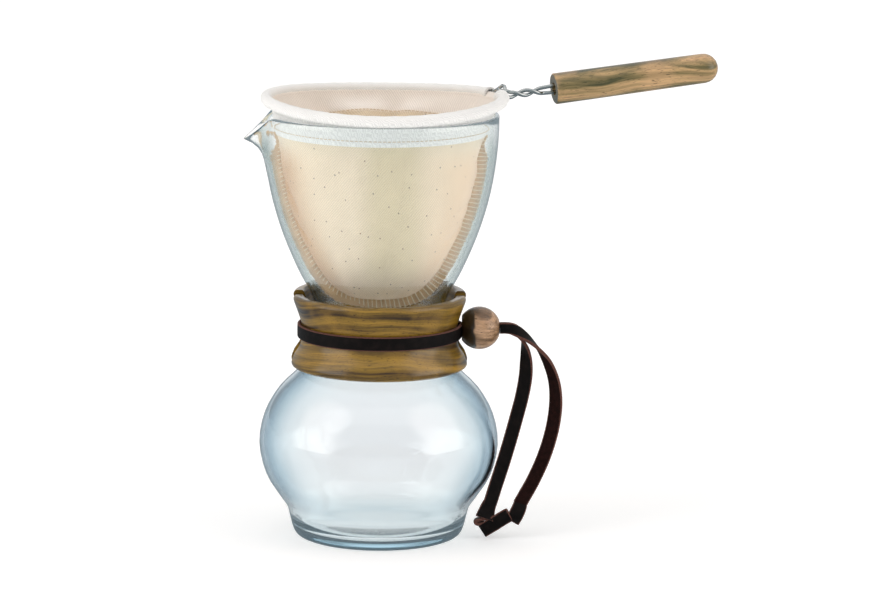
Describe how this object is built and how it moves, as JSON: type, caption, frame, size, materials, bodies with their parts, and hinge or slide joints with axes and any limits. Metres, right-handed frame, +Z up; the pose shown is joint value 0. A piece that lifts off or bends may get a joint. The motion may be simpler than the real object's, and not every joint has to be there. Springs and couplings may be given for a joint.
{
  "type": "cloth filter drip coffee pot",
  "caption": "Glass drip coffee pot with a pinched neck in a split wooden collar tied by a beaded leather lace, and a cloth filter on a wire hoop with a wooden handle.",
  "frame": {"origin": "centre of the flat underside of the glass pot", "axes": "+Z up, -X towards the spout, +X towards the bead of the lace, -Y towards the front half of the collar; the filter's handle points 13 degrees from +X towards +Y"},
  "size_m": [0.2246, 0.1159, 0.2266],
  "materials": {
    "glass": "clear blown glass, smooth and glossy, with a faint blue-grey tint at its edges",
    "collar_wood": "turned olive-brown hardwood with dark streaks, satin oiled",
    "bead_wood": "turned hardwood with a dark heartwood zone, satin oiled",
    "handle_wood": "turned hardwood with streaks along its length, satin",
    "lace_leather": "dark brown smooth grain side, red-brown napped flesh side and cut edges",
    "plated_wire": "bright plated steel wire",
    "cotton_flannel": "unbleached cotton flannel, diagonal weave, soft nap and small seed flecks",
    "sewing_thread": "undyed cotton sewing thread, matte"
  },
  "bodies": {
    "pot": {"glass_pot": "glass", "collar_front": "collar_wood", "collar_back": "collar_wood", "lace_wrap": "lace_leather", "lace_inner_strand": "lace_leather", "lace_outer_strand": "lace_leather", "lace_knot": "lace_leather"},
    "bead": {"toggle_bead": "bead_wood"},
    "filter": {"hoop_wire": "plated_wire", "latch_wire": "plated_wire", "handle_grip": "handle_wood", "filter_hem_sleeve": "cotton_flannel", "filter_front_panel": "cotton_flannel", "filter_back_panel": "cotton_flannel", "filter_seam_band": "cotton_flannel", "hem_thread": "sewing_thread", "overlock_thread": "sewing_thread"}
  },
  "joints": [
    {"name": "filter_lift", "type": "slide", "parent": "pot", "child": "filter", "axis": [0, 0, 1], "range_m": [0, 0.12]},
    {"name": "bead_slide", "type": "slide", "parent": "pot", "child": "bead", "axis": [1, 0, 0], "range_m": [0, 0.004]}
  ]
}
